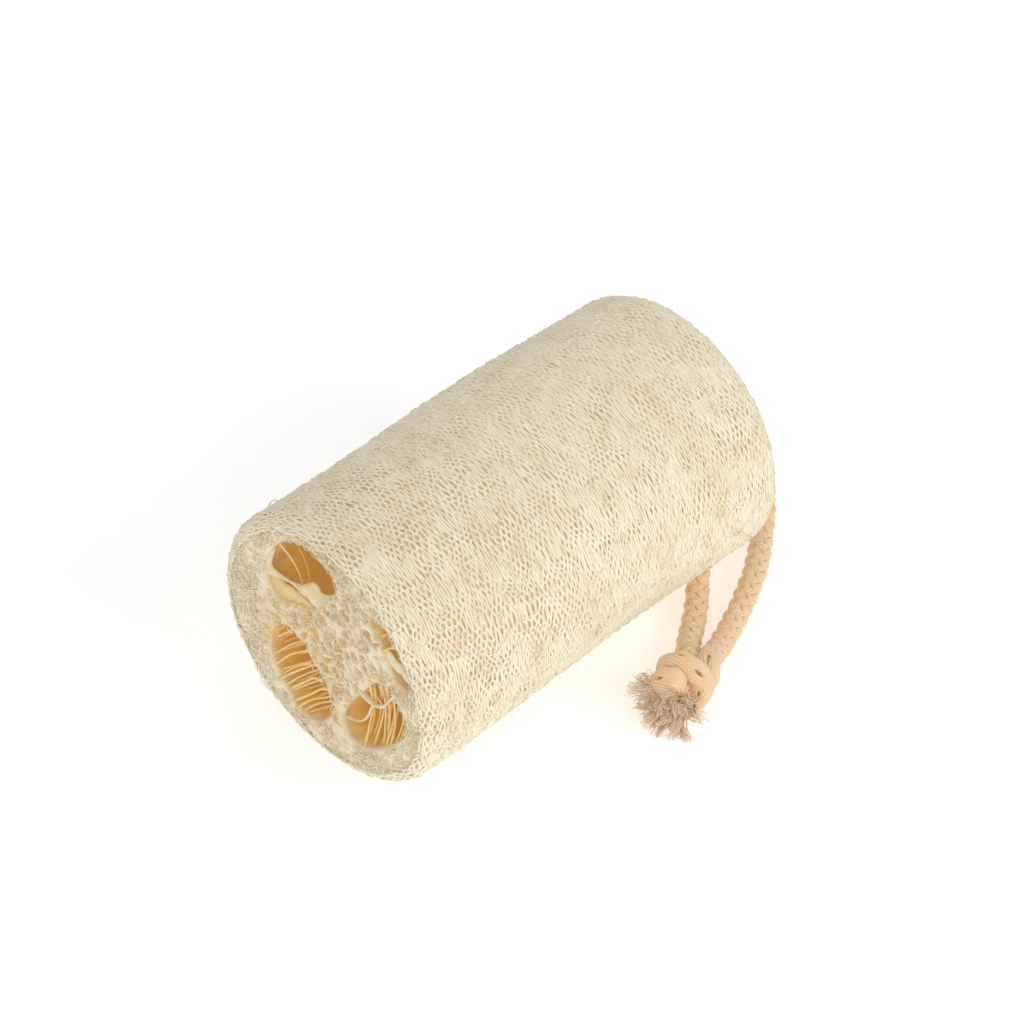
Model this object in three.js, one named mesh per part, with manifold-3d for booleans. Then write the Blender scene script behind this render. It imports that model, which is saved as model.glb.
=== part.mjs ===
// Natural loofah sponge: a cut length of dried gourd skeleton with seed channels, lying on its side,
// and a cotton cord threaded through its wall, tied in a knot on the floor beside it.
// Millimetres, +Z up. The sponge lies along X, its open cut end at -X and the cord at the +X end.
import * as THREE from "three";
import { mergeGeometries, mergeVertices } from "three/addons/utils/BufferGeometryUtils.js";
import Module from "manifold-3d";

const wasm = await Module();
wasm.setup();

// Sponge body
const LENGTH = 100;
const RADIUS = 29.2;
const FLAT_CUT = 0.8; // how far the underside is worn flat
const AXIS_HEIGHT = RADIUS - FLAT_CUT;
const NEAR_ROUND_X = 3.6;
const NEAR_ROUND_R = 4.2;
const FAR_ROUND_X = 5.0;
const FAR_ROUND_R = 7.5;

// Raised net of fibres over the skin, larger than life
const NET_AROUND = 57; // a multiple of three, so the meshes close round the body
const NET_ROWS = 43;
const MESH_DEPTH = 1.9;
const RIDGE_UNEVEN = 0.14;
const MESH_DRIFT = 0.28;

// Pores cut into both end faces
const PORE_RADIUS = 1.35;
const PORE_DEPTH = 3.2;
const PORE_SPACING = 3.0;
const PORE_MARGIN = 0.9;
const PORE_TRIES = 2600;

// Seed channels: outlines of the open end, as y and z from the axis
const CHANNEL_TOP = [
  [13.8, 5.6], [16.2, 10.5], [14.6, 16.5], [10.5, 21.5], [5, 23.6],
  [-1.5, 22.2], [-3.6, 18.6], [-1, 14.2], [2.6, 9.4], [7.5, 7],
];
const CHANNEL_LOW = [
  [11, -0.8], [15.4, -4.5], [16.6, -10.5], [13.5, -17], [8, -22],
  [3, -21], [-0.6, -15.5], [0.4, -10.5], [4.8, -5.2], [7.6, -1.6],
];
const CHANNEL_SIDE = [
  [-4.8, -12.1], [-6.8, -8.4], [-9.5, -4.6], [-13.5, 0.6], [-17.5, 1.2], [-21.6, -3.2],
  [-20.6, -8.6], [-15.5, -14.4], [-10.4, -18.6], [-5.9, -18.8], [-4.2, -15.6],
];
const CHANNEL_SLIT = [
  [-12.7, 17.9], [-16.4, 17.6], [-20.6, 14], [-22.9, 8.6], [-22.6, 4.4],
  [-19.8, 4.2], [-17.6, 8.2], [-15.4, 12.4], [-12.6, 15.4],
];
const CHANNEL_FAR_SCALE = 0.75;
const CHANNEL_FAR_SHIFT = 0.92;
const CHANNEL_ROUGH = 0.5;
const SLIT_DEPTH = 62;

// Cord
const CORD_DIAMETER = 5;
const CORD_CLEARANCE = 0.35;
const CORD_SIDES = 10;
const CORD_STEPS = 26;
const CORD_PATH = [
  [16.8, -34.6, 5.6], [19.8, -31.6, 3.6], [24.4, -28.3, 2.75], [28.8, -25.4, 3.0], [32.6, -22.4, 4.6], [35.6, -19.6, 7.8],
  [38.4, -16.6, 12.2], [42.2, -13.6, 16.8], [47, -12, 19.8], [52, -11.6, 20.6], [57, -12, 19],
  [60.2, -13.2, 15], [60.8, -15, 10], [58.8, -17.2, 5.4], [55.6, -19.6, 3.2], [51.5, -22.6, 2.75],
  [46.4, -25.8, 2.75], [37.4, -30.4, 2.75], [27.6, -34.5, 2.9], [22.4, -36.7, 4.2],
  [18.4, -38.2, 6.2],
];

// Knot
const KNOT_CENTRE = new THREE.Vector3(12, -39, 6.55);
const KNOT_AXIS = new THREE.Vector3(-0.955, -0.297, 0);
const KNOT_COIL = 3.9;
const KNOT_TURNS = 1.6;
const KNOT_PITCH = 4.5;
const KNOT_GAP = 0.3;
const TAILS = [
  { start: [8.6, -38, 5.2], end: [4.2, -33.4, 3.6], spread: 3.1, count: 13 },
  { start: [8.4, -41, 5.2], end: [0.8, -44.6, 3.4], spread: 4.2, count: 17 },
];
const TUFT_ROOT = 1.0;
const TUFT_LENGTH = 7.2;

/** Seeded random numbers from 0 to 1. */
function randomFrom(seed) {
  let state = seed;
  return () => {
    state = (Math.imul(state, 1664525) + 1013904223) >>> 0;
    return state / 4294967296;
  };
}

/** A repeatable number from -1 to 1 for one mesh of the net. */
function uneven(i, j, salt) {
  const value = Math.sin(i * 12.9898 + j * 78.233 + salt * 37.719) * 43758.5453;
  return 2 * (value - Math.floor(value)) - 1;
}

/** A closed geometry as a solid that can be joined and cut. */
function solid(geometry) {
  const bare = geometry.clone();
  bare.deleteAttribute("normal");
  bare.deleteAttribute("uv");
  const merged = mergeVertices(bare, 1e-4);
  return new wasm.Manifold(
    new wasm.Mesh({
      numProp: 3,
      vertProperties: merged.attributes.position.array,
      triVerts: new Uint32Array(merged.index.array),
    }),
  );
}

/** A solid as a geometry to draw. */
function geometryOf(body) {
  const mesh = body.getMesh();
  const geometry = new THREE.BufferGeometry();
  geometry.setAttribute("position", new THREE.BufferAttribute(mesh.vertProperties, 3));
  geometry.setIndex(new THREE.BufferAttribute(mesh.triVerts, 1));
  geometry.computeVertexNormals();
  return geometry;
}

/** The half outline of the sponge, from the middle of the open end to the middle of the far end. */
function spongeProfile() {
  const half = LENGTH / 2;
  const points = [new THREE.Vector2(0, -half)];
  for (const turn of [0, 30, 60]) {
    const angle = THREE.MathUtils.degToRad(turn);
    points.push(
      new THREE.Vector2(
        RADIUS - NEAR_ROUND_R * (1 - Math.sin(angle)),
        -half + NEAR_ROUND_X * (1 - Math.cos(angle)),
      ),
    );
  }
  const start = -half + NEAR_ROUND_X;
  const end = half - FAR_ROUND_X;
  for (let j = 0; j <= NET_ROWS; j++) {
    points.push(new THREE.Vector2(RADIUS, start + ((end - start) * j) / NET_ROWS));
  }
  for (const turn of [65, 40, 18, 0]) {
    const angle = THREE.MathUtils.degToRad(turn);
    points.push(
      new THREE.Vector2(
        RADIUS - FAR_ROUND_R * (1 - Math.sin(angle)),
        half - FAR_ROUND_X * (1 - Math.cos(angle)),
      ),
    );
  }
  points.push(new THREE.Vector2(0, half));
  return points;
}

/** Slow swells that keep the sponge from being a true cylinder. */
function swell(angle, x) {
  return (
    0.3 * Math.sin(2 * angle + 0.6 + x / 60) +
    0.26 * Math.sin(3 * angle - x / 19) +
    0.24 * Math.sin(x / 12 + angle)
  );
}

/** The sponge without its channels: a round body whose skin is a raised net with a sunk middle in each mesh. */
function spongeSkin() {
  const profile = spongeProfile();
  const rows = profile.length;
  const geometry = new THREE.LatheGeometry(profile, NET_AROUND);
  const position = geometry.attributes.position;
  for (let index = 0; index < position.count; index++) {
    const i = Math.floor(index / rows) % NET_AROUND;
    const j = index % rows;
    const onSkin = j > 3 && j < rows - 4;
    const step = (2 * Math.PI) / NET_AROUND;
    const drift = onSkin ? (uneven(i, j, 1) * MESH_DRIFT) / RADIUS : 0;
    const angle = (i + j / 2) * step + drift;
    const x = profile[j].x === 0 ? profile[j].y : profile[j].y + (onSkin ? 0.2 * uneven(i, j, 2) : 0);
    const sunk = (i - j + 3 * rows) % 3 === 0;
    const share = profile[j].x / RADIUS;
    let radius = profile[j].x + share * share * swell(angle, x);
    const low = AXIS_HEIGHT + radius * Math.sin(angle);
    const clear = THREE.MathUtils.smoothstep(low, 0.1, 1.4);
    if (sunk && profile[j].x > 0 && j > 1 && j < rows - 2) {
      radius -= clear * MESH_DEPTH * (1 + 0.25 * uneven(i, j, 3));
    } else if (onSkin) {
      radius += clear * RIDGE_UNEVEN * uneven(i, j, 4);
    }
    const y = radius * Math.cos(angle);
    const z = Math.max(0, AXIS_HEIGHT + radius * Math.sin(angle));
    position.setXYZ(index, x, y, z);
  }
  return solid(geometry);
}

/** A closed smooth outline through the given points. */
function outlineOf(points, count) {
  const curve = new THREE.CatmullRomCurve3(
    points.map(([y, z]) => new THREE.Vector3(y, z, 0)),
    true,
  );
  return curve.getPoints(count).slice(0, count);
}

/** The solid that is cut away for one seed channel, narrower towards the far end. */
function seedChannel(points, count, depth) {
  const outline = outlineOf(points, count);
  const centre = outline
    .reduce((sum, p) => sum.add(p), new THREE.Vector3())
    .divideScalar(outline.length);
  const geometry = new THREE.ExtrudeGeometry(
    new THREE.Shape(outline.map((p) => new THREE.Vector2(p.x, p.y))),
    { depth, steps: 12, bevelEnabled: false },
  );
  const position = geometry.attributes.position;
  for (let index = 0; index < position.count; index++) {
    const u = position.getX(index) - centre.x;
    const v = position.getY(index) - centre.y;
    const x = position.getZ(index) - LENGTH / 2 - 4;
    const late = THREE.MathUtils.smoothstep(x, 5, LENGTH / 2);
    const scale = 1 - (1 - CHANNEL_FAR_SCALE) * late;
    const shift = 1 - (1 - CHANNEL_FAR_SHIFT) * late;
    const angle = Math.atan2(v, u);
    const rough = CHANNEL_ROUGH * (Math.sin(7 * angle + 0.9 * x) + 0.6 * Math.sin(11 * angle - 0.55 * x));
    const reach = Math.hypot(u, v);
    const grow = scale * (1 + rough / reach);
    position.setXYZ(index, x, centre.x * shift + u * grow, AXIS_HEIGHT + centre.y * shift + v * grow);
  }
  return solid(geometry);
}

/** A channel's outline at the far end, where it is narrower. */
function farOutline(points, count) {
  const outline = outlineOf(points, count);
  const centre = outline
    .reduce((sum, p) => sum.add(p), new THREE.Vector3())
    .divideScalar(outline.length);
  return outline.map((p) =>
    p
      .clone()
      .sub(centre)
      .multiplyScalar(CHANNEL_FAR_SCALE)
      .addScaledVector(centre, CHANNEL_FAR_SHIFT),
  );
}

/** How far a point is from the nearest outline, negative inside one. */
function clearOf(outlines, y, z) {
  let nearest = Infinity;
  for (const outline of outlines) {
    let inside = false;
    for (let a = 0, b = outline.length - 1; a < outline.length; b = a++) {
      const p = outline[a];
      const q = outline[b];
      nearest = Math.min(nearest, Math.hypot(p.x - y, p.y - z));
      if (p.y > z !== q.y > z && y < ((q.x - p.x) * (z - p.y)) / (q.y - p.y) + p.x) {
        inside = !inside;
      }
    }
    if (inside) {
      return -1;
    }
  }
  return nearest;
}

/** The small pores of one end face, as one solid to cut away. */
function endPores(outlines, side, reach, seed) {
  const random = randomFrom(seed);
  const placed = [];
  const pores = [];
  for (let k = 0; k < PORE_TRIES; k++) {
    const distance = reach * Math.sqrt(random());
    const angle = 2 * Math.PI * random();
    const y = distance * Math.cos(angle);
    const z = distance * Math.sin(angle);
    const size = PORE_RADIUS * (0.7 + 0.5 * random());
    if (clearOf(outlines, y, z) < size + PORE_MARGIN) {
      continue;
    }
    if (placed.some((p) => Math.hypot(p[0] - y, p[1] - z) < PORE_SPACING)) {
      continue;
    }
    placed.push([y, z]);
    const pore = new THREE.ConeGeometry(size * 1.4, PORE_DEPTH * 1.4, 4, 1);
    pore.rotateY(random() * Math.PI);
    pore.rotateZ((side * Math.PI) / 2);
    pore.translate(side * (LENGTH / 2 - PORE_DEPTH * 0.3), y, AXIS_HEIGHT + z);
    pores.push(pore);
  }
  return solid(mergeGeometries(pores));
}

/** A round tube along a path. */
function tube(path, radius, sides, steps) {
  const section = new THREE.Shape();
  for (let k = 0; k < sides; k++) {
    const angle = (2 * Math.PI * k) / sides;
    const x = radius * Math.cos(angle);
    const y = radius * Math.sin(angle);
    if (k === 0) {
      section.moveTo(x, y);
    } else {
      section.lineTo(x, y);
    }
  }
  section.closePath();
  return solid(new THREE.ExtrudeGeometry(section, { steps, extrudePath: path, bevelEnabled: false }));
}

/** The knot: a coil of cord round its own strands, with two frayed tails fused to it. */
function knotSolid() {
  const axis = KNOT_AXIS.clone().normalize();
  const up = new THREE.Vector3(0, 0, 1);
  const side = new THREE.Vector3().crossVectors(up, axis);
  const coil = [];
  for (let k = 0; k <= 24; k++) {
    const share = k / 24 - 0.5;
    const angle = 2 * Math.PI * KNOT_TURNS * share;
    coil.push(
      KNOT_CENTRE.clone()
        .addScaledVector(axis, KNOT_PITCH * KNOT_TURNS * share)
        .addScaledVector(up, KNOT_COIL * Math.cos(angle))
        .addScaledVector(side, KNOT_COIL * Math.sin(angle)),
    );
  }
  const radius = CORD_DIAMETER / 2;
  let body = tube(new THREE.CatmullRomCurve3(coil), radius, CORD_SIDES, 30);
  const through = new THREE.LineCurve3(
    KNOT_CENTRE.clone().addScaledVector(axis, -5.2),
    KNOT_CENTRE.clone().addScaledVector(axis, 5.2),
  );
  body = body.add(tube(through, radius * 1.15, CORD_SIDES, 1));
  const random = randomFrom(41);
  for (const tail of TAILS) {
    const start = new THREE.Vector3(...tail.start);
    const end = new THREE.Vector3(...tail.end);
    body = body.add(tube(new THREE.LineCurve3(start, end), radius * 0.95, CORD_SIDES, 1));
    const along = end.clone().sub(start).normalize();
    for (let k = 0; k < tail.count; k++) {
      const turn = k * 2.4;
      const spread = Math.sqrt((k + 0.5) / tail.count);
      const across = new THREE.Vector3()
        .crossVectors(along, up)
        .normalize()
        .multiplyScalar(Math.cos(turn) * spread)
        .addScaledVector(up, Math.sin(turn) * spread * 0.55);
      const root = end.clone().addScaledVector(along, -2.2).addScaledVector(across, radius * 0.6);
      const tip = end
        .clone()
        .addScaledVector(along, TUFT_LENGTH * (0.5 + 0.25 * random()))
        .addScaledVector(across, tail.spread);
      tip.z = Math.max(tip.z, 0.9);
      body = body.add(tuft(root, tip));
    }
  }
  return body;
}

/** One frayed end: a narrow spike from its root to its tip. */
function tuft(root, tip) {
  const length = root.distanceTo(tip);
  const spike = new THREE.CylinderGeometry(TUFT_ROOT * 0.3, TUFT_ROOT, length, 5, 1);
  spike.translate(0, length / 2, 0);
  const turn = new THREE.Quaternion().setFromUnitVectors(
    new THREE.Vector3(0, 1, 0),
    tip.clone().sub(root).normalize(),
  );
  spike.applyQuaternion(turn);
  spike.translate(root.x, root.y, root.z);
  return solid(spike);
}

/** A named piece of the part. */
function piece(name, body, colour, roughness) {
  const mesh = new THREE.Mesh(
    geometryOf(body),
    new THREE.MeshStandardMaterial({ color: colour, roughness, metalness: 0 }),
  );
  mesh.name = name;
  return mesh;
}

const cordPath = new THREE.CatmullRomCurve3(
  CORD_PATH.map((p) => new THREE.Vector3(...p)),
  false,
  "centripetal",
);

const channels = [CHANNEL_TOP, CHANNEL_LOW, CHANNEL_SIDE];
let sponge = spongeSkin();
for (const points of channels) {
  sponge = sponge.subtract(seedChannel(points, 24, LENGTH + 8));
}
sponge = sponge.subtract(seedChannel(CHANNEL_SLIT, 18, SLIT_DEPTH));
const nearOutlines = [...channels, CHANNEL_SLIT].map((points) => outlineOf(points, 40));
const farOutlines = channels.map((points) => farOutline(points, 40));
sponge = sponge.subtract(endPores(nearOutlines, -1, RADIUS - NEAR_ROUND_R - 1, 7));
sponge = sponge.subtract(endPores(farOutlines, 1, RADIUS - FAR_ROUND_R - 1, 19));
sponge = sponge.subtract(tube(cordPath, CORD_DIAMETER / 2 + CORD_CLEARANCE, CORD_SIDES, CORD_STEPS * 2));

const box = sponge.boundingBox();
const offset = [-(box.min[0] + box.max[0]) / 2, -(box.min[1] + box.max[1]) / 2, -box.min[2]];
sponge = sponge.translate(offset);

const cord = tube(cordPath, CORD_DIAMETER / 2, CORD_SIDES, CORD_STEPS * 2);
const cordRoom = tube(cordPath, CORD_DIAMETER / 2 + KNOT_GAP, CORD_SIDES, CORD_STEPS * 2);
const knot = knotSolid().subtract(cordRoom);

const loofah = new THREE.Group();
loofah.name = "loofah_sponge";
loofah.add(piece("loofah_body", sponge, 0xe6d9b8, 0.9));
loofah.add(piece("cord_loop", cord, 0xd9b893, 0.85));
loofah.add(piece("cord_knot", knot, 0xd5b595, 0.85));

export default loofah;
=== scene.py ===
"""Natural loofah sponge lying on its side, with a braided cotton cord knotted beside it.

The sponge is a rough mat with real fibres laid over it, and the cord is plaited from yarns.
Lengths are in millimetres until a mesh is finished, and then in metres.
"""

import itertools
import logging
import math
from dataclasses import dataclass, field
from enum import Enum

import bmesh
import bpy
import numpy as np
from mathutils import Matrix


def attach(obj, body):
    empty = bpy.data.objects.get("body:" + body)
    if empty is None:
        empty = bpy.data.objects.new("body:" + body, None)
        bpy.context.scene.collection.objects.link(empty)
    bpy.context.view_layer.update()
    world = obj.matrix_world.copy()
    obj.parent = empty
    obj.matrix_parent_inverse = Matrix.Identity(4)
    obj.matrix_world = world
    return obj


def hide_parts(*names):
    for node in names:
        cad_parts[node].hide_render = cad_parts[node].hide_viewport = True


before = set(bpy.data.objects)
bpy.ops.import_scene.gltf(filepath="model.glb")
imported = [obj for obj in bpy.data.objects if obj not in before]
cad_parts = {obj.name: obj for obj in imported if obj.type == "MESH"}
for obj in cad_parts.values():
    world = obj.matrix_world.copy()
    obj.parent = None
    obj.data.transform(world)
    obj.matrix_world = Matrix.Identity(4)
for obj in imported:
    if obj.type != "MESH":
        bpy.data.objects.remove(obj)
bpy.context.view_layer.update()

LOG = logging.getLogger("loofah")
GRAIN_SCALE = 22
GRAIN_STRENGTH = 0.25
GRAIN_HEIGHT = 0.0002
GLOW_DEPTH = 0.0012
GLOW_REACH = (1.0, 0.55, 0.2)
MM = 0.001
BODY = "root"


class Slot(Enum):
    """The finishes of the record for the sponge and the cord."""

    FIBRE = "loofah_fibre"
    COTTON = "cotton_cord"


class Node(Enum):
    """The solids that the pieces stand for."""

    SPONGE = "loofah_body"
    LOOP = "cord_loop"
    KNOT = "cord_knot"


def hash_unit(cells: np.ndarray, seed: int) -> np.ndarray:
    """Gives a repeatable number from 0 to 1 for each whole-number cell.

    Args:
        cells: Cells, with three whole numbers in the last dimension.
        seed: Which set of numbers to give.

    Returns:
        One number for each cell.
    """
    c = cells.astype(np.int64).astype(np.uint64)
    mixed = c[..., 0] * np.uint64(374761393) + c[..., 1] * np.uint64(668265263)
    mixed = mixed + c[..., 2] * np.uint64(2246822519) + np.uint64(seed * 3266489917)
    mixed = (mixed ^ (mixed >> np.uint64(15))) * np.uint64(2654435761)
    mixed = (mixed ^ (mixed >> np.uint64(13))) * np.uint64(1274126177)
    mixed = mixed ^ (mixed >> np.uint64(16))
    return (mixed & np.uint64(0xFFFFFF)).astype(float) / float(0xFFFFFF)


def smooth_noise(points: np.ndarray, seed: int) -> np.ndarray:
    """Gives smooth random values from -1 to 1.

    Args:
        points: Places, with three numbers in the last dimension, one noise cell to the unit.
        seed: Which noise to give.

    Returns:
        One value for each place.
    """
    base = np.floor(points)
    part = points - base
    part = part * part * (3 - 2 * part)
    total = np.zeros(points.shape[:-1])
    for corner in itertools.product((0, 1), repeat=3):
        step = np.array(corner)
        weight = np.prod(np.where(step == 1, part, 1 - part), axis=-1)
        total += weight * hash_unit(base + step, seed)
    return 2 * total - 1


def cell_gaps(y: np.ndarray, z: np.ndarray, size: float, seed: int) -> tuple[np.ndarray, np.ndarray]:
    """Measures how far places are from the walls between random cells.

    Args:
        y: Places across the sponge.
        z: Places up the sponge.
        size: The usual distance between cell middles.
        seed: Which cells to use.

    Returns:
        The distance to the wall of the own cell, and a random number for that cell.
    """
    base = np.stack([np.floor(y / size), np.floor(z / size), np.zeros_like(y)], axis=-1)
    first = np.full(y.shape, 1e9)
    second = np.full(y.shape, 1e9)
    own = np.zeros(y.shape)
    for dy, dz in itertools.product((-1, 0, 1), repeat=2):
        cell = base + np.array([dy, dz, 0])
        cy = (cell[..., 0] + 0.15 + 0.7 * hash_unit(cell, seed)) * size
        cz = (cell[..., 1] + 0.15 + 0.7 * hash_unit(cell, seed + 1)) * size
        far = np.hypot(y - cy, z - cz)
        nearer = far < first
        second = np.where(nearer, first, np.minimum(second, far))
        own = np.where(nearer, hash_unit(cell, seed + 2), own)
        first = np.where(nearer, far, first)
    return (second - first) / 2, own


def smooth_step(value: np.ndarray, low: float, high: float) -> np.ndarray:
    """Gives a smooth rise from 0 at low to 1 at high."""
    share = np.clip((value - low) / (high - low), 0, 1)
    return share * share * (3 - 2 * share)


def unit(vectors: np.ndarray) -> np.ndarray:
    """Gives vectors of length one in the same directions."""
    return vectors / np.maximum(np.linalg.norm(vectors, axis=-1, keepdims=True), 1e-12)


def smooth_curve(points: np.ndarray, count: int, closed: bool = False) -> np.ndarray:
    """Samples an even curve through points, as a centripetal spline.

    Args:
        points: The places that the curve passes.
        count: How many samples to give.
        closed: Whether the curve joins its own start.

    Returns:
        Samples at equal distances along the curve.
    """
    dims = points.shape[1]
    if closed:
        knots = np.vstack([points[-1], points, points[:2]])
    else:
        knots = np.vstack([2 * points[0] - points[1], points, 2 * points[-1] - points[-2]])
    dense = []
    for a, b, c, d in zip(knots, knots[1:], knots[2:], knots[3:]):
        t0 = 0.0
        t1 = t0 + math.sqrt(np.linalg.norm(b - a))
        t2 = t1 + math.sqrt(np.linalg.norm(c - b))
        t3 = t2 + math.sqrt(np.linalg.norm(d - c))
        t = np.linspace(t1, t2, 24, endpoint=False)[:, None]
        ab = (t1 - t) / (t1 - t0) * a + (t - t0) / (t1 - t0) * b
        bc = (t2 - t) / (t2 - t1) * b + (t - t1) / (t2 - t1) * c
        cd = (t3 - t) / (t3 - t2) * c + (t - t2) / (t3 - t2) * d
        abc = (t2 - t) / (t2 - t0) * ab + (t - t0) / (t2 - t0) * bc
        bcd = (t3 - t) / (t3 - t1) * bc + (t - t1) / (t3 - t1) * cd
        dense.append((t2 - t) / (t2 - t1) * abc + (t - t1) / (t2 - t1) * bcd)
    line = np.vstack(dense + [knots[-2][None, :]])
    along = np.concatenate([[0], np.cumsum(np.linalg.norm(np.diff(line, axis=0), axis=1))])
    places = np.linspace(0, along[-1], count, endpoint=not closed)
    return np.stack([np.interp(places, along, line[:, k]) for k in range(dims)], axis=1)


@dataclass(frozen=True)
class FibreFinish:
    """Dry plant fibre, a ramp from saturated ochre to pale ivory. The ochre end is painted shade and painted
    inter-reflected glow for hollows, slits and channel mouths; the pale ivory end is the fibre's own colour
    outside.
    """

    name: str = "loofah_fibre_finish"
    # Tone 0 is painted light: a saturated orange for shade and warm inter-reflected glow inside hollows.
    painted_hollow_ochre: tuple[float, float, float] = (0.93, 0.56, 0.13)
    ochre: tuple[float, float, float] = (0.84, 0.58, 0.21)
    straw: tuple[float, float, float] = (0.74, 0.59, 0.36)
    cream: tuple[float, float, float] = (0.83, 0.745, 0.56)
    ivory: tuple[float, float, float] = (0.89, 0.825, 0.67)
    roughness: float = 0.72
    mottle_scale: float = 95.0
    mottle: float = 0.10
    glow: float = 0.0
    # Painted glow: emission strength that stands in for light through the thin fibres and brightens their shade.
    lift: float = 0.13

    def make(self) -> bpy.types.Material:
        """Makes the material, which reads the tone that each fibre carries.

        Returns:
            The material.
        """
        stops = [
            (0.0, self.painted_hollow_ochre),
            (0.3, self.ochre),
            (0.55, self.straw),
            (0.78, self.cream),
            (1.0, self.ivory),
        ]
        return toned_material(
            self.name, stops, self.roughness, self.mottle_scale, self.mottle, 0.15, self.lift, self.glow
        )


@dataclass(frozen=True)
class CottonFinish:
    """Undyed peach-tan cotton yarn."""

    name: str = "cotton_yarn_finish"
    shadow: tuple[float, float, float] = (0.36, 0.21, 0.10)
    tan: tuple[float, float, float] = (0.86, 0.57, 0.31)
    peach: tuple[float, float, float] = (0.84, 0.61, 0.39)
    pale: tuple[float, float, float] = (0.88, 0.71, 0.53)
    roughness: float = 0.88
    mottle_scale: float = 420.0
    mottle: float = 0.12
    # Painted glow: emission strength that stands in for light through the loose cotton and brightens its shade.
    lift: float = 0.05

    def make(self) -> bpy.types.Material:
        """Makes the material, which reads the tone that each yarn carries.

        Returns:
            The material.
        """
        stops = [(0.0, self.shadow), (0.4, self.tan), (0.72, self.peach), (1.0, self.pale)]
        return toned_material(
            self.name, stops, self.roughness, self.mottle_scale, self.mottle, 0.4, self.lift
        )


@dataclass(frozen=True)
class FloorFinish:
    """White matt studio floor."""

    name: str = "studio_floor_finish"
    colour: tuple[float, float, float] = (0.93, 0.93, 0.93)
    lift: float = 0.34

    def make(self) -> bpy.types.Material:
        """Makes the floor's material."""
        material = bpy.data.materials.new(self.name)
        material.use_nodes = True
        shader = material.node_tree.nodes["Principled BSDF"]
        shader.inputs["Base Color"].default_value = (*self.colour, 1)
        shader.inputs["Roughness"].default_value = 0.9
        shader.inputs["Specular IOR Level"].default_value = 0.1
        shader.inputs["Emission Color"].default_value = (1, 1, 1, 1)
        shader.inputs["Emission Strength"].default_value = self.lift
        return material


def toned_material(
    name: str,
    stops: list[tuple[float, tuple[float, float, float]]],
    roughness: float,
    mottle_scale: float,
    mottle: float,
    sheen: float,
    lift: float,
    glow: float = 0.0,
) -> bpy.types.Material:
    """Makes a material that runs through colours by the tone stored on each point.

    Args:
        name: The material's name.
        stops: Tones from 0 to 1 with their colours.
        roughness: The shader's roughness.
        mottle_scale: Size of the uneven patches, in patches to the metre.
        mottle: How much the patches change the tone.
        sheen: Strength of the soft sheen of fine hairs.
        lift: Strength of a painted glow: emission in the ramp's colour that stands in for light coming through
            the thin fibres and lifts their shade.
        glow: Share of light that spreads inside the surface.

    Returns:
        The material.
    """
    material = bpy.data.materials.new(name)
    material.use_nodes = True
    nodes = material.node_tree.nodes
    links = material.node_tree.links
    shader = nodes["Principled BSDF"]
    tone = nodes.new("ShaderNodeAttribute")
    tone.attribute_name = "tone"
    place = nodes.new("ShaderNodeTexCoord")
    patches = nodes.new("ShaderNodeTexNoise")
    patches.inputs["Scale"].default_value = mottle_scale
    patches.inputs["Detail"].default_value = 4.0
    links.new(place.outputs["Object"], patches.inputs["Vector"])
    swing = nodes.new("ShaderNodeMapRange")
    swing.inputs["From Min"].default_value = 0.25
    swing.inputs["From Max"].default_value = 0.75
    swing.inputs["To Min"].default_value = -mottle
    swing.inputs["To Max"].default_value = mottle
    links.new(patches.outputs["Fac"], swing.inputs["Value"])
    added = nodes.new("ShaderNodeMath")
    added.operation = "ADD"
    links.new(tone.outputs["Fac"], added.inputs[0])
    links.new(swing.outputs["Result"], added.inputs[1])
    ramp = nodes.new("ShaderNodeValToRGB")
    elements = ramp.color_ramp.elements
    while len(elements) < len(stops):
        elements.new(0.5)
    for element, (position, colour) in zip(elements, stops):
        element.position = position
        element.color = (*colour, 1)
    links.new(added.outputs["Value"], ramp.inputs["Fac"])
    links.new(ramp.outputs["Color"], shader.inputs["Base Color"])
    grain = nodes.new("ShaderNodeTexNoise")
    grain.inputs["Scale"].default_value = mottle_scale * GRAIN_SCALE
    grain.inputs["Detail"].default_value = 3.0
    links.new(place.outputs["Object"], grain.inputs["Vector"])
    bump = nodes.new("ShaderNodeBump")
    bump.inputs["Strength"].default_value = GRAIN_STRENGTH
    bump.inputs["Distance"].default_value = GRAIN_HEIGHT
    links.new(grain.outputs["Fac"], bump.inputs["Height"])
    links.new(bump.outputs["Normal"], shader.inputs["Normal"])
    shader.inputs["Roughness"].default_value = roughness
    shader.inputs["Specular IOR Level"].default_value = 0.25
    shader.inputs["Sheen Weight"].default_value = sheen
    shader.inputs["Sheen Roughness"].default_value = 0.6
    # Painted glow: the surface emits its own ramp colour, in place of light passing through the fibres.
    links.new(ramp.outputs["Color"], shader.inputs["Emission Color"])
    shader.inputs["Emission Strength"].default_value = lift
    if glow > 0:
        shader.inputs["Subsurface Weight"].default_value = glow
        shader.inputs["Subsurface Radius"].default_value = GLOW_REACH
        shader.inputs["Subsurface Scale"].default_value = GLOW_DEPTH
    return material


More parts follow.
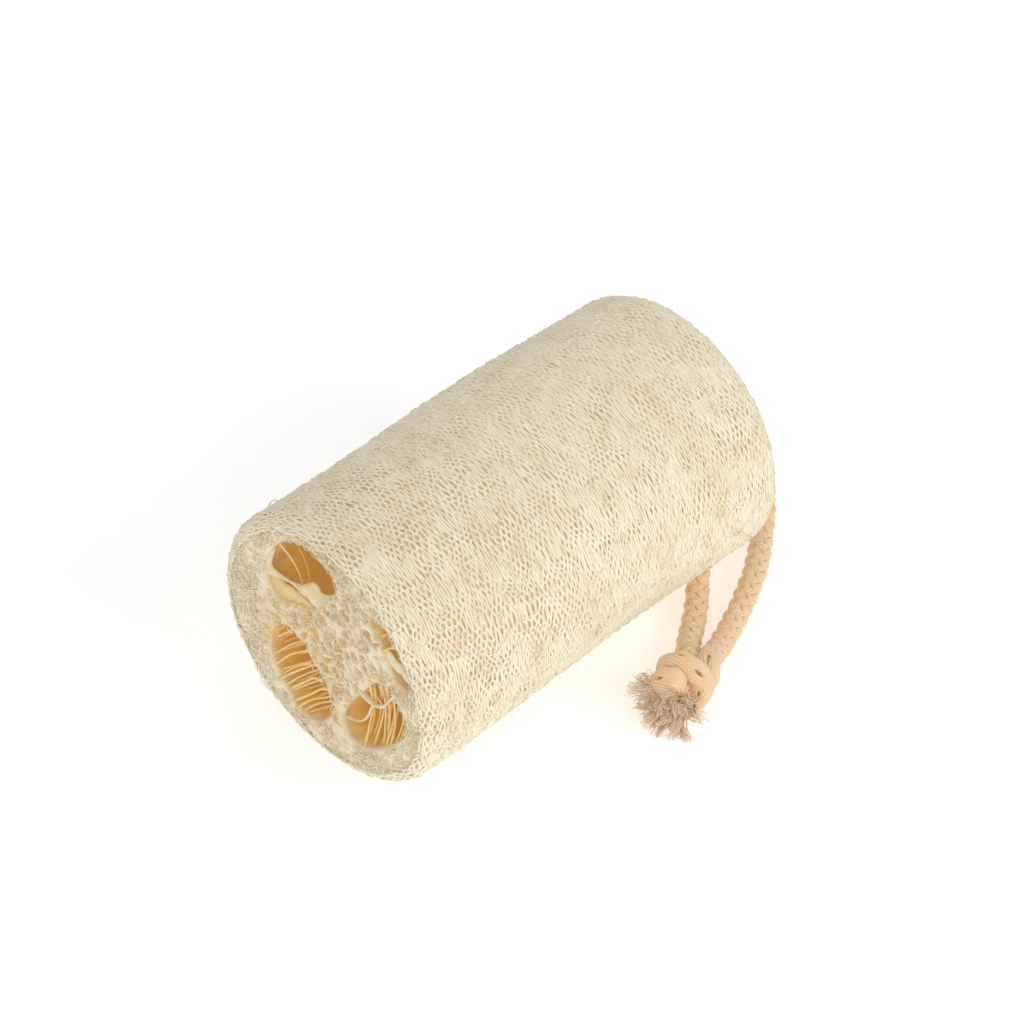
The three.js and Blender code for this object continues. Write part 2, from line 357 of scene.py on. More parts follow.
@dataclass
class FibreStock:
    """Straight fibres side by side, which are then bent to their places.

    Attributes:
        count: How many fibres there are.
        steps: How many lengths each fibre is made of.
        sides: How many sides each fibre has.
    """

    count: int
    steps: int
    sides: int = 3

    def straight(self) -> bpy.types.Mesh:
        """Makes the straight stock: one section drawn out step by step, then doubled into a row.

        Returns:
            A mesh with fibre i at x = i, and step k at z = k.
        """
        bm = bmesh.new()
        bmesh.ops.create_circle(bm, cap_ends=False, segments=self.sides, radius=0.25)
        ring = bm.edges[:]
        for _ in range(self.steps):
            drawn = bmesh.ops.extrude_edge_only(bm, edges=ring)["geom"]
            ends = verts_of(drawn)
            fresh = set(ends)
            edges = [item for item in drawn if isinstance(item, bmesh.types.BMEdge)]
            ring = [e for e in edges if e.verts[0] in fresh and e.verts[1] in fresh]
            bmesh.ops.translate(bm, verts=ends, vec=(0, 0, 1))
        bmesh.ops.holes_fill(bm, edges=bm.edges[:], sides=0)
        bmesh.ops.recalc_face_normals(bm, faces=bm.faces[:])
        made = 1
        while made < self.count:
            part = min(made, self.count - made)
            verts = [v for v in bm.verts if v.co.x < part - 0.5]
            chosen = set(verts)
            geom = verts + [e for e in bm.edges if e.verts[0] in chosen]
            geom += [f for f in bm.faces if f.verts[0] in chosen]
            copied = bmesh.ops.duplicate(bm, geom=geom)["geom"]
            bmesh.ops.translate(bm, verts=verts_of(copied), vec=(made, 0, 0))
            made += part
        return stored(bm, "fibres")

    def bent(
        self,
        paths: np.ndarray,
        radii: np.ndarray,
        outward: np.ndarray,
        tones: np.ndarray,
        widths: np.ndarray | None = None,
    ) -> bpy.types.Mesh:
        """Bends the stock along paths.

        Args:
            paths: Places in millimetres, by fibre and step.
            radii: Half thicknesses in millimetres, by fibre and step.
            outward: A direction to turn each section by, by fibre and step.
            tones: Tones from 0 to 1, by fibre and step.
            widths: Half widths across the outward direction, if they differ from the radii.

        Returns:
            The mesh, in metres, with its tones stored on its points.
        """
        mesh = self.straight()
        flat = mesh_points(mesh)
        fibre = np.clip(np.rint(flat[:, 0]).astype(int), 0, self.count - 1)
        step = np.clip(np.rint(flat[:, 2]).astype(int), 0, self.steps)
        turn = np.arctan2(flat[:, 1], flat[:, 0] - fibre)
        ahead = unit(np.gradient(paths, axis=1))
        normal = unit(outward - np.sum(outward * ahead, axis=-1, keepdims=True) * ahead)
        across = np.cross(ahead, normal)
        spot = (fibre, step)
        reach = radii[spot] * np.cos(turn)
        width = (radii if widths is None else widths)[spot] * np.sin(turn)
        places = paths[spot] + reach[:, None] * normal[spot] + width[:, None] * across[spot]
        finish_mesh(mesh, places, tones[spot])
        return mesh


def store_tone(mesh: bpy.types.Mesh, tones: np.ndarray) -> None:
    """Stores a tone on each point of a mesh.

    Args:
        mesh: The mesh.
        tones: One tone for each of its points.
    """
    layer = mesh.attributes.new("tone", "FLOAT", "POINT")
    layer.data.foreach_set("value", np.clip(tones, 0, 1).astype(np.float32))


def mesh_points(mesh: bpy.types.Mesh) -> np.ndarray:
    """Gives the places of a mesh's points, one row for each."""
    flat = np.empty(len(mesh.vertices) * 3)
    mesh.vertices.foreach_get("co", flat)
    return flat.reshape(-1, 3)


def finish_mesh(mesh: bpy.types.Mesh, places: np.ndarray, tones: np.ndarray) -> None:
    """Moves a mesh's points, stores their tones and shades it smooth.

    Args:
        mesh: The mesh.
        places: One place for each of its points, in millimetres.
        tones: One tone for each of its points.
    """
    mesh.vertices.foreach_set("co", (places * MM).ravel())
    store_tone(mesh, tones)
    mesh.polygons.foreach_set("use_smooth", np.ones(len(mesh.polygons), dtype=bool))
    mesh.update()


def stored(bm: bmesh.types.BMesh, name: str) -> bpy.types.Mesh:
    """Turns an edited mesh into a stored one, and frees it."""
    mesh = bpy.data.meshes.new(name)
    bm.to_mesh(mesh)
    bm.free()
    return mesh


def verts_of(geom: list) -> list[bmesh.types.BMVert]:
    """Picks the points out of what an operator made."""
    return [item for item in geom if isinstance(item, bmesh.types.BMVert)]


def bowed(
    lean: np.ndarray, bend: np.ndarray, length: np.ndarray, steps: int
) -> tuple[np.ndarray, np.ndarray, np.ndarray]:
    """Lays out short bowed fibres about their middles.

    Args:
        lean: Each fibre's direction at its middle.
        bend: How far it turns to each side of that.
        length: Its length.
        steps: How many lengths it is made of.

    Returns:
        The share along a fibre from -0.5 to 0.5, and how far each step lies ahead and aside.
    """
    share = np.linspace(-0.5, 0.5, steps + 1)[None, :]
    way = lean[:, None] + bend[:, None] * 2 * share
    step = length[:, None] / steps
    ahead = np.cumsum(np.cos(way) * step, axis=1)
    aside = np.cumsum(np.sin(way) * step, axis=1)
    return share, ahead - ahead.mean(axis=1, keepdims=True), aside - aside.mean(axis=1, keepdims=True)


def place_piece(
    name: str, mesh: bpy.types.Mesh, material: bpy.types.Material, node: Node
) -> bpy.types.Object:
    """Puts a finished mesh into the scene as a piece of the object.

    Args:
        name: The piece's name.
        mesh: Its mesh, in metres.
        material: Its material.
        node: The solid that it stands for.

    Returns:
        The new piece.
    """
    mesh.name = name
    mesh.materials.append(material)
    piece = bpy.data.objects.new(name, mesh)
    bpy.context.scene.collection.objects.link(piece)
    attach(piece, BODY)
    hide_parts(node.value)
    LOG.info("%s: %d faces", name, len(mesh.polygons))
    return piece


Outline = tuple[tuple[float, float], ...]


@dataclass
class SeedChannel:
    """One seed channel.

    Attributes:
        points: Its outline at the open end, as y and z from the axis.
        far_scale: Its size at the far end, as a share of that outline.
        far_shift: How far from the axis its middle ends, as a share of where it starts.
        taper: Where along the sponge it begins and ends to narrow.
    """

    points: Outline
    far_scale: float = 0.75
    far_shift: float = 0.92
    taper: tuple[float, float] = (5.0, 50.0)
    outline: np.ndarray = field(init=False)
    centre: np.ndarray = field(init=False)

    def __post_init__(self) -> None:
        """Works out the smooth outline and its middle."""
        self.outline = smooth_curve(np.array(self.points), 120, closed=True)
        self.centre = self.outline.mean(axis=0)

    def gap(self, y: np.ndarray, z: np.ndarray) -> np.ndarray:
        """Measures how far places are outside the outline.

        Args:
            y: Places across.
            z: Places up from the axis.

        Returns:
            Distances, negative inside.
        """
        a = self.outline
        b = np.roll(self.outline, -1, axis=0)
        shape = y.shape
        p = np.stack([y.ravel(), z.ravel()], axis=1)
        best = np.full(len(p), 1e9)
        inside = np.zeros(len(p), dtype=bool)
        for (ay, az), (by, bz) in zip(a, b):
            run = np.array([by - ay, bz - az])
            share = np.clip(((p[:, 0] - ay) * run[0] + (p[:, 1] - az) * run[1]) / (run @ run), 0, 1)
            far = np.hypot(p[:, 0] - ay - share * run[0], p[:, 1] - az - share * run[1])
            best = np.minimum(best, far)
            crosses = (az > p[:, 1]) != (bz > p[:, 1])
            if bz != az:
                inside ^= crosses & (p[:, 0] < run[0] * (p[:, 1] - az) / run[1] + ay)
        return np.where(inside, -best, best).reshape(shape)

    def turned(self, angle: float) -> tuple[np.ndarray, np.ndarray, np.ndarray]:
        """Gives the outline along and across a direction, and the direction itself."""
        way = np.array([math.cos(math.radians(angle)), math.sin(math.radians(angle))])
        return self.outline @ way, self.outline @ np.array([-way[1], way[0]]), way

    def spread(self, angle: float) -> tuple[float, float]:
        """Gives how far the outline reaches across a direction."""
        _, across, _ = self.turned(angle)
        return float(across.min()), float(across.max())

    def crossing(self, angle: float, offset: float) -> np.ndarray:
        """Finds where a straight line crosses the outline.

        Args:
            angle: The line's direction in degrees.
            offset: How far across that direction the line lies.

        Returns:
            The two ends of the crossing, a little way into the walls.
        """
        along, across, way = self.turned(angle)
        side = across > offset
        cuts = np.flatnonzero(side != np.roll(side, -1))
        after = (cuts + 1) % len(along)
        part = (offset - across[cuts]) / (across[after] - across[cuts])
        hits = along[cuts] + (along[after] - along[cuts]) * part
        normal = np.array([-way[1], way[0]])
        return np.array([way * (hits.min() - 0.5), way * (hits.max() + 0.5)]) + normal * offset

    def nearest(self, y: np.ndarray, z: np.ndarray) -> tuple[np.ndarray, np.ndarray]:
        """Gives the nearest place on the outline for each given place."""
        fine = smooth_curve(np.array(self.points), 900, closed=True)
        far = (y[:, None] - fine[None, :, 0]) ** 2 + (z[:, None] - fine[None, :, 1]) ** 2
        pick = np.argmin(far, axis=1)
        return fine[pick, 0], fine[pick, 1]


@dataclass
class SpongeShape:
    """The sponge's overall form: a round length with softly rounded ends, worn flat below."""

    length: float = 100.0
    radius: float = 29.2
    axis_height: float = 28.4
    near_round_x: float = 3.6
    near_round_r: float = 4.2
    far_round_x: float = 5.0
    far_round_r: float = 7.5
    floor_gap: float = 0.16
    profile: np.ndarray = field(init=False)
    along: np.ndarray = field(init=False)

    def __post_init__(self) -> None:
        """Works out the side outline and the distance along it."""
        half = self.length / 2
        turn = np.linspace(0, np.pi / 2, 24)
        near = np.stack(
            [
                -half + self.near_round_x * (1 - np.cos(turn)),
                self.radius - self.near_round_r * (1 - np.sin(turn)),
            ],
            axis=1,
        )
        far = np.stack(
            [
                half - self.far_round_x * (1 - np.cos(turn[::-1])),
                self.radius - self.far_round_r * (1 - np.sin(turn[::-1])),
            ],
            axis=1,
        )
        self.profile = np.vstack([near, far])
        steps = np.linalg.norm(np.diff(self.profile, axis=0), axis=1)
        self.along = np.concatenate([[0], np.cumsum(steps)])

    @property
    def run(self) -> float:
        """Distance over the skin from one end face to the other."""
        return float(self.along[-1])

    def end_drop(self, r: np.ndarray, open_end: bool, inset: float = 0.0) -> np.ndarray:
        """Gives how far a rounded end falls back.

        Args:
            r: Distances from the axis.
            open_end: Whether it is the open end.
            inset: How far the surface lies under the skin.

        Returns:
            Depths inside the end's plane.
        """
        round_r = self.near_round_r if open_end else self.far_round_r
        round_x = self.near_round_x if open_end else self.far_round_x
        edge = np.clip((r - (self.radius - round_r - inset)) / round_r, 0, 1)
        return round_x * (1 - np.sqrt(np.clip(1 - edge * edge, 0, 1)))

    def swell(self, angle: np.ndarray, x: np.ndarray) -> np.ndarray:
        """Gives the slow swells that keep the sponge from being a true cylinder."""
        return (
            0.30 * np.sin(2 * angle + 0.6 + x / 60)
            + 0.26 * np.sin(3 * angle - x / 19)
            + 0.24 * np.sin(x / 12 + angle)
        )

    def skin_noise(
        self, run: np.ndarray, angle: np.ndarray, size: tuple[float, float], seed: int
    ) -> np.ndarray:
        """Gives smooth random values over the skin, which meet again underneath.

        Args:
            run: Distance over the skin from the open end.
            angle: Angle about the axis.
            size: Size of the random patches along and round the sponge.
            seed: Which noise to give.

        Returns:
            Values from -1 to 1.
        """
        whole = 2 * np.pi * self.radius
        arc = np.mod(angle + np.pi / 2, 2 * np.pi) * self.radius
        values = []
        for place in (arc, arc - whole):
            u, v = run / size[0], place / size[1]
            spot = np.stack([0.83 * u - 0.56 * v, 0.56 * u + 0.83 * v, 0 * u + 0.37], axis=-1)
            values.append(smooth_noise(spot, seed))
        blend = smooth_step(arc, whole - 9, whole)
        return values[0] * (1 - blend) + values[1] * blend

    def skin(self, run: np.ndarray, angle: np.ndarray, lift: np.ndarray) -> tuple[np.ndarray, np.ndarray]:
        """Finds places on or under the skin.

        Args:
            run: Distance over the skin from the open end.
            angle: Angle about the axis, from +Y towards +Z.
            lift: Height above the skin.

        Returns:
            The places, and the directions out of the skin there.
        """
        x = np.interp(run, self.along, self.profile[:, 0])
        r = np.interp(run, self.along, self.profile[:, 1])
        dx = np.interp(run + 0.4, self.along, self.profile[:, 0]) - np.interp(
            run - 0.4, self.along, self.profile[:, 0]
        )
        dr = np.interp(run + 0.4, self.along, self.profile[:, 1]) - np.interp(
            run - 0.4, self.along, self.profile[:, 1]
        )
        size = np.maximum(np.hypot(dx, dr), 1e-9)
        out_x = -dr / size
        out_r = dx / size
        r = r + (r / self.radius) ** 2 * self.swell(angle, x) + out_r * lift
        x = x + out_x * lift
        height = np.maximum(self.axis_height + r * np.sin(angle), self.floor_gap + np.clip(0.45 + lift, 0, 3))
        places = np.stack([x, r * np.cos(angle), height], axis=-1)
        outward = np.stack([out_x, out_r * np.cos(angle), out_r * np.sin(angle)], axis=-1)
        return places, outward


@dataclass(frozen=True)
class StringRow:
    """A row of strings that cross one channel side by side.

    Attributes:
        channel: The channel's name.
        angle: The strings' direction in degrees from +Y towards +Z.
        count: How many strings there are.
        low: Share of the channel's width where the row begins.
        high: Share of the channel's width where the row ends.
        depth: The nearest and farthest depth inside the open end.
        half: The thinnest and thickest half thickness.
        tone: The darkest and palest tone; its low ochre tones are painted shade and painted inter-reflected glow
            inside the channel mouth.
    """

    channel: str
    angle: float
    count: int
    low: float = 0.05
    high: float = 0.95
    depth: tuple[float, float] = (0.8, 6.0)
    half: tuple[float, float] = (0.17, 0.30)
    tone: tuple[float, float] = (0.16, 0.40)


@dataclass(frozen=True)
class Web:
    """A thin skin between hollows of the open end.

    Attributes:
        points: Places that it follows, as y and z from the axis.
        half: Half thickness across the end face.
        reach: Half width along the sponge.
        depth: Depth of its middle inside the open end.
        tone: Its tone.
    """

    points: Outline
    half: float
    reach: float
    depth: float
    tone: float


@dataclass
class Loofah:
    """The sponge: a rough mat with its channels, and the fibres that lie over and across it."""

    shape: SpongeShape = field(default_factory=SpongeShape)
    finish: FibreFinish = field(default_factory=FibreFinish)
    # The mat's lift is a painted glow: emission that brightens its shaded hollows.
    mat_finish: FibreFinish = field(
        default_factory=lambda: FibreFinish(name="loofah_mat_finish", glow=0.25, lift=0.08)
    )
    mat_drop: float = 0.40
    grid_step: float = 0.36
    wall_cuts: int = 24
    ring_start: float = 1.8
    ring_spacing: float = 0.60
    ring_steps: int = 420
    ring_half: float = 0.17
    ring_width: float = 0.41
    slits_round: int = 62
    slit_half: float = 0.38
    felt_count: int = 6800
    felt_steps: int = 3
    fuzz_count: int = 1000
    rim_fibres: int = 2700
    core_fibres: int = 400
    core_radius: float = 19.5
    loose_fibres: int = 26
    pore_size: float = 2.5
    pore_depth: float = 1.7
    fine_pore_size: float = 1.3
    fine_pore_depth: float = 0.5
    face_recess: float = 0.6
    lip_width: float = 1.4
    lip_depth: float = 0.8
    far_recess: float = 0.7
    channel_reach: float = 5.0
    lowest_mat: float = 0.4
    # Painted shade: the mat under the net is the same fibre, given a darker ochre tone for the shade and warm
    # inter-reflected light in the slits.
    skin_tone: float = 0.44
    core_tone: float = 0.64
    # Painted shade: how much the end face's pores darken as they sink.
    painted_pore_shade: float = 0.50
    wall_tone: float = 0.60
    # Painted shade and painted inter-reflected glow: how much the channel walls darken towards ochre inside the
    # mouth.
    painted_wall_shade: float = 0.38
    closed_tone: float = 0.66
    net_lift: float = -0.20
    net_tone: float = 0.80
    strings: tuple[StringRow, ...] = (
        StringRow("low", 135.7, 26, tone=(0.16, 0.42)),
        StringRow("side", 96.0, 15, 0.22, 0.86),
        StringRow("side", 60.0, 4, 0.3, 0.9, depth=(3.0, 8.0)),
        StringRow("slit", 150.0, 8, 0.05, 0.7),
        StringRow("top", 60.0, 7, 0.1, 0.9, depth=(2.5, 8.0), tone=(0.15, 0.35)),
    )
    webs: tuple[Web, ...] = (
        Web(((-8.4, -4.0), (-12.4, -5.3), (-15.2, -4.2), (-18.6, 1.2)), 0.24, 0.6, 1.5, 0.66),
        Web(((-12.4, -5.3), (-11.0, -9.2), (-8.6, -13.0), (-4.0, -14.8)), 0.20, 0.5, 1.8, 0.62),
        Web(((-23.4, 7.2), (-19.2, 8.8), (-15.0, 10.2)), 1.4, 0.3, 1.9, 0.64),
    )
    upper_hole: Outline = (
        (14.9, 14.3), (12.8, 19.2), (8.6, 23.2), (3.7, 24.9), (0, 23.9), (-2.6, 21.4), (-3, 17.9),
        (-1.1, 14.9), (1.4, 14.0), (2.9, 15.4), (7, 12.4), (10.2, 11.2), (13.4, 10.9), (15.1, 12),
    )
    upper_slit: Outline = (
        (14.9, 8.9), (11.8, 9.3), (8.2, 9.2), (4.8, 8.9), (3.0, 8.4), (4.8, 9.8), (8.2, 10.1), (11.8, 9.9),
    )
    channels: dict[str, SeedChannel] = field(
        default_factory=lambda: {
            "top": SeedChannel(
                (
                    (13.8, 5.6), (16.2, 10.5), (14.6, 16.5), (10.5, 21.5), (5, 23.6),
                    (-1.5, 22.2), (-3.6, 18.6), (-1, 14.2), (2.6, 9.4), (7.5, 7),
                )
            ),
            "low": SeedChannel(
                (
                    (11, -0.8), (15.4, -4.5), (16.6, -10.5), (13.5, -17), (8, -22),
                    (3, -21), (-0.6, -15.5), (0.4, -10.5), (4.8, -5.2), (7.6, -1.6),
                )
            ),
            "side": SeedChannel(
                (
                    (-4.8, -12.1), (-6.8, -8.4), (-9.5, -4.6), (-13.5, 0.6), (-17.5, 1.2),
                    (-21.6, -3.2), (-20.6, -8.6), (-15.5, -14.4), (-10.4, -18.6), (-5.9, -18.8),
                    (-4.2, -15.6),
                )
            ),
            "slit": SeedChannel(
                (
                    (-12.7, 17.9), (-16.4, 17.6), (-20.6, 14), (-22.9, 8.6), (-22.6, 4.4),
                    (-19.8, 4.2), (-17.6, 8.2), (-15.4, 12.4), (-12.6, 15.4),
                ),
                far_scale=0.03,
                far_shift=1.0,
                taper=(-12.0, 8.0),
            ),
        }
    )
    material: bpy.types.Material = field(init=False)

    def build(self) -> list[bpy.types.Object]:
        """Builds every piece of the sponge.

        Returns:
            The pieces.
        """
        self.material = self.finish.make()
        soft = self.mat_finish.make()
        pieces = [
            place_piece("loofah_mat", self.mat_mesh(), soft, Node.SPONGE),
            place_piece("loofah_membrane", self.membrane_mesh(), soft, Node.SPONGE),
            place_piece("loofah_channel_webs", self.web_mesh(), soft, Node.SPONGE),
        ]
        share = int((self.shape.run - 0.2 - self.ring_start) / self.ring_spacing / 3)
        for index, name in enumerate(("open_end", "middle", "cord_end")):
            pieces.append(self._piece(f"loofah_net_{name}", self.ring_mesh(index * share, share)))
        pieces.append(self._piece("loofah_felt", self.felt_mesh()))
        pieces.append(self._piece("loofah_fuzz", self.fuzz_mesh()))
        pieces.append(self._piece("loofah_open_end_fibres", self.face_mesh(True)))
        pieces.append(self._piece("loofah_cord_end_fibres", self.face_mesh(False)))
        pieces.append(self._piece("loofah_channel_strings", self.string_mesh()))
        return pieces

    def _piece(self, name: str, mesh: bpy.types.Mesh) -> bpy.types.Object:
        """Places one mesh of the sponge."""
        return place_piece(name, mesh, self.material, Node.SPONGE)

    def channel_gap(self, y: np.ndarray, z: np.ndarray) -> np.ndarray:
        """Measures how far places are from the nearest channel, negative inside one."""
        return np.min([channel.gap(y, z) for channel in self.channels.values()], axis=0)

    def face_depth(self, y: np.ndarray, z: np.ndarray) -> np.ndarray:
        """Gives how far the open end's surface lies inside its plane.

        Args:
            y: Places across.
            z: Places up from the axis.

        Returns:
            Depths in millimetres.
        """
        depth = self.shape.end_drop(np.hypot(y, z), True, self.mat_drop)
        spot = np.stack([y, z, 0 * y], axis=-1)
        bent_y = y + 0.7 * smooth_noise(spot / 2.1, 13)
        bent_z = z + 0.7 * smooth_noise(spot / 2.1, 14)
        inner = 1 - smooth_step(np.hypot(y + 3, z - 2), 15.5, 21)
        wall, own = cell_gaps(bent_y, bent_z, self.pore_size, 11)
        pores = smooth_step(wall, 0.30, 0.62) * (own > 0.30) * (0.5 + 0.5 * own) * inner
        depth = depth + self.pore_depth * pores
        wall, own = cell_gaps(bent_y, bent_z, self.fine_pore_size, 23)
        depth = depth + self.fine_pore_depth * smooth_step(wall, 0.2, 0.45) * (own > 0.55)
        depth = depth + 0.13 * smooth_noise(spot / 0.9, 15) + 0.4 * smooth_noise(spot / 4, 16)
        gap = self.channel_gap(y, z)
        lip = np.clip(1 - gap / self.lip_width, 0, 1)
        return depth + self.lip_depth * lip * lip + self.face_recess

    def mat_mesh(self) -> bpy.types.Mesh:
        """Makes the rough mat: the end section as a fine grid with the channels left out, drawn to length.

        Returns:
            The mesh, in metres.
        """
        outer = self.shape.radius - self.mat_drop
        count = int(2 * outer / self.grid_step) + 2
        half = count * self.grid_step / 2
        bm = bmesh.new()
        bmesh.ops.create_grid(bm, x_segments=count, y_segments=count, size=half)
        middles = np.array([f.calc_center_median()[:2] for f in bm.faces])
        keep = (np.hypot(middles[:, 0], middles[:, 1]) < outer) & (
            self.channel_gap(middles[:, 0], middles[:, 1]) > 0
        )
        faces = bm.faces[:]
        bmesh.ops.delete(bm, geom=[f for f, k in zip(faces, keep) if not k], context="FACES")
        self._snap_edges(bm, outer)
        drawn = bmesh.ops.extrude_face_region(bm, geom=bm.faces[:])["geom"]
        bmesh.ops.translate(bm, verts=verts_of(drawn), vec=(0, 0, 1))
        long_edges = [e for e in bm.edges if abs(e.verts[0].co.z - e.verts[1].co.z) > 0.5]
        bmesh.ops.subdivide_edges(bm, edges=long_edges, cuts=self.wall_cuts, use_grid_fill=True)
        bmesh.ops.recalc_face_normals(bm, faces=bm.faces[:])
        mesh = stored(bm, "mat")
        self._shape_mat(mesh, outer)
        return mesh

    def _snap_edges(self, bm: bmesh.types.BMesh, outer: float) -> None:
        """Moves the ragged edge of the grid onto the round outside and the channels' outlines.

        Args:
            bm: The flat grid.
            outer: The outside radius.
        """
        rim = [v for v in bm.verts if v.is_boundary]
        y = np.array([v.co.x for v in rim])
        z = np.array([v.co.y for v in rim])
        gaps = np.array([c.gap(y, z) for c in self.channels.values()])
        nearest = np.argmin(gaps, axis=0)
        outside = (outer - np.hypot(y, z)) < gaps.min(axis=0)
        new_y = np.where(outside, y * outer / np.hypot(y, z), y)
        new_z = np.where(outside, z * outer / np.hypot(y, z), z)
        for index, channel in enumerate(self.channels.values()):
            pick = ~outside & (nearest == index)
            new_y[pick], new_z[pick] = channel.nearest(y[pick], z[pick])
        for vert, a, b in zip(rim, new_y, new_z):
            vert.co.x = a
            vert.co.y = b
        inner = [v for v in bm.verts if not v.is_boundary]
        near = [v for v in inner if any(e.other_vert(v).is_boundary for e in v.link_edges)]
        bmesh.ops.smooth_vert(bm, verts=near, factor=0.5, use_axis_x=True, use_axis_y=True)

    def _shape_mat(self, mesh: bpy.types.Mesh, outer: float) -> None:
        """Gives the straight mat its rounded ends, pores, rough walls and tones.

        Args:
            mesh: The mat, as y, z and a share of its length.
            outer: Its outside radius.
        """
        shape = self.shape
        flat = mesh_points(mesh)
        y, z, share = flat[:, 0].copy(), flat[:, 1].copy(), flat[:, 2]
        share = share**1.7
        r = np.hypot(y, z)
        on_wall = self.channel_gap(y, z) < 0.02
        on_skin = (r > outer - 0.02) & ~on_wall
        near = self.face_depth(y, z)
        near_round = shape.end_drop(r, True, self.mat_drop)
        far = shape.end_drop(r, False, self.mat_drop) + self.far_recess
        wall, own = cell_gaps(y, z, 2.4, 71)
        far = far + 1.8 * smooth_step(wall, 0.25, 0.7) * own * (1 - smooth_step(r, 16, 21))
        x = -shape.length / 2 + near + share * (shape.length - near - far)
        move_y = np.zeros_like(y)
        move_z = np.zeros_like(z)
        weight_sum = np.zeros_like(y)
        for channel in self.channels.values():
            cy, cz = channel.centre
            weight = np.clip(1 - np.maximum(channel.gap(y, z), 0) / self.channel_reach, 0, 1) ** 2
            late = smooth_step(x, *channel.taper)
            scale = 1 - (1 - channel.far_scale) * late
            shift = 1 - (1 - channel.far_shift) * late
            move_y += weight * (cy * shift + (y - cy) * scale - y)
            move_z += weight * (cz * shift + (z - cz) * scale - z)
            weight_sum += weight
        weight_sum = np.maximum(weight_sum, 1)
        y = y + move_y / weight_sum
        z = z + move_z / weight_sum
        spot = np.stack([x, y, z], axis=1)
        closed = np.zeros_like(x)
        rough = 0.45 * smooth_noise(spot / [4.0, 1.1, 1.1], 5) + 0.3 * smooth_noise(spot / 0.8, 6)
        for channel in self.channels.values():
            mine = on_wall & (np.abs(channel.gap(flat[:, 0], flat[:, 1])) < 0.05)
            dy = flat[:, 0] - channel.centre[0]
            dz = flat[:, 1] - channel.centre[1]
            size = np.maximum(np.hypot(dy, dz), 1e-6)
            narrow = 1 - (1 - channel.far_scale) * smooth_step(x, *channel.taper)
            closed = np.where(mine, np.maximum(closed, smooth_step(0.3 - narrow, 0, 0.2)), closed)
            fade = np.where(mine, rough * narrow * smooth_step(share, 0.0, 0.02), 0)
            y = y + fade * dy / size
            z = z + fade * dz / size
        angle = np.arctan2(z, y)
        bulge = shape.swell(angle, x) * (r / shape.radius) ** 2
        bulge = bulge + np.where(on_skin, 0.15 * smooth_noise(spot / 1.6, 8), 0)
        y = y + bulge * np.cos(angle)
        z = z + bulge * np.sin(angle)
        height = np.maximum(shape.axis_height + z, self.lowest_mat)
        inward = x + shape.length / 2
        sunk = near - near_round
        # Painted shade: pores on the end face turn darker and more golden the further they sink.
        face_tone = self.core_tone + 0.12 * smooth_step(r, 16, 21) - self.painted_pore_shade * smooth_step(sunk, 0.9, 1.9)
        # Painted shade: the outer skin of the mat shows only in the slits, so it carries the slits' shade tone.
        tone = np.where(on_skin, self.skin_tone, face_tone)
        # Painted shade: channel walls run from pale at the mouth to dark ochre a few millimetres in.
        wall_tone = self.wall_tone - self.painted_wall_shade * smooth_step(inward, 0.9, 4.5)
        tone = np.where(on_wall, wall_tone + (self.closed_tone - wall_tone) * closed, tone)
        tone = tone + 0.06 * smooth_noise(spot / 1.3, 9)
        finish_mesh(mesh, np.stack([x, y, height], axis=1), tone)

    def ring_mesh(self, first: int, count: int) -> bpy.types.Mesh:
        """Makes the net of fibres that run round the sponge and part into small slits.

        Args:
            first: Number of the first ring.
            count: How many rings to make.

        Returns:
            The mesh, in metres.
        """
        shape = self.shape
        number = first + np.arange(count)
        middle = self.ring_start + number * self.ring_spacing
        angle = np.linspace(0, 2 * np.pi, self.ring_steps + 1)
        run, turn = np.meshgrid(middle, angle, indexing="ij")
        lean = 4.6 * shape.skin_noise(run, turn, (4, 5), 29) + 2.2 * shape.skin_noise(run, turn, (1.4, 2), 28)
        phase = self.slits_round * turn + np.pi * number[:, None] + lean
        open_here = 0.50 + 0.85 * shape.skin_noise(run, turn, (2.4, 2.6), 30)
        open_here = np.clip(open_here, 0.04, 1) * (1 - 0.45 * smooth_step(run, 12, 75))
        parting = self.slit_half * open_here * np.cos(phase)
        wander = 0.45 * shape.skin_noise(run, turn, (9, 12), 32)
        wander = wander + 0.25 * shape.skin_noise(run, turn, (2.5, 3), 38)
        wander = wander + 0.10 * shape.skin_noise(run, turn, (0.4, 2.0), 33)
        lift = self.net_lift + 0.10 * shape.skin_noise(run, turn, (0.7, 1.3), 34)
        lift = lift + 0.12 * shape.skin_noise(run, turn, (3, 3), 35)
        place = np.clip(run + parting + wander, 0.05, shape.run - 0.05)
        paths, outward = shape.skin(place, turn, lift)
        coarse = 1 + 0.25 * shape.skin_noise(run, turn, (0.5, 2.4), 36)
        # Painted shade: strands that sit lower in the net get a darker tone, raised ones a paler one.
        tone = self.net_tone + 0.4 * (lift - self.net_lift) + 0.07 * shape.skin_noise(run, turn, (0.6, 3.0), 37)
        stock = FibreStock(count, self.ring_steps)
        return stock.bent(paths, self.ring_half * coarse, outward, tone, self.ring_width * coarse)

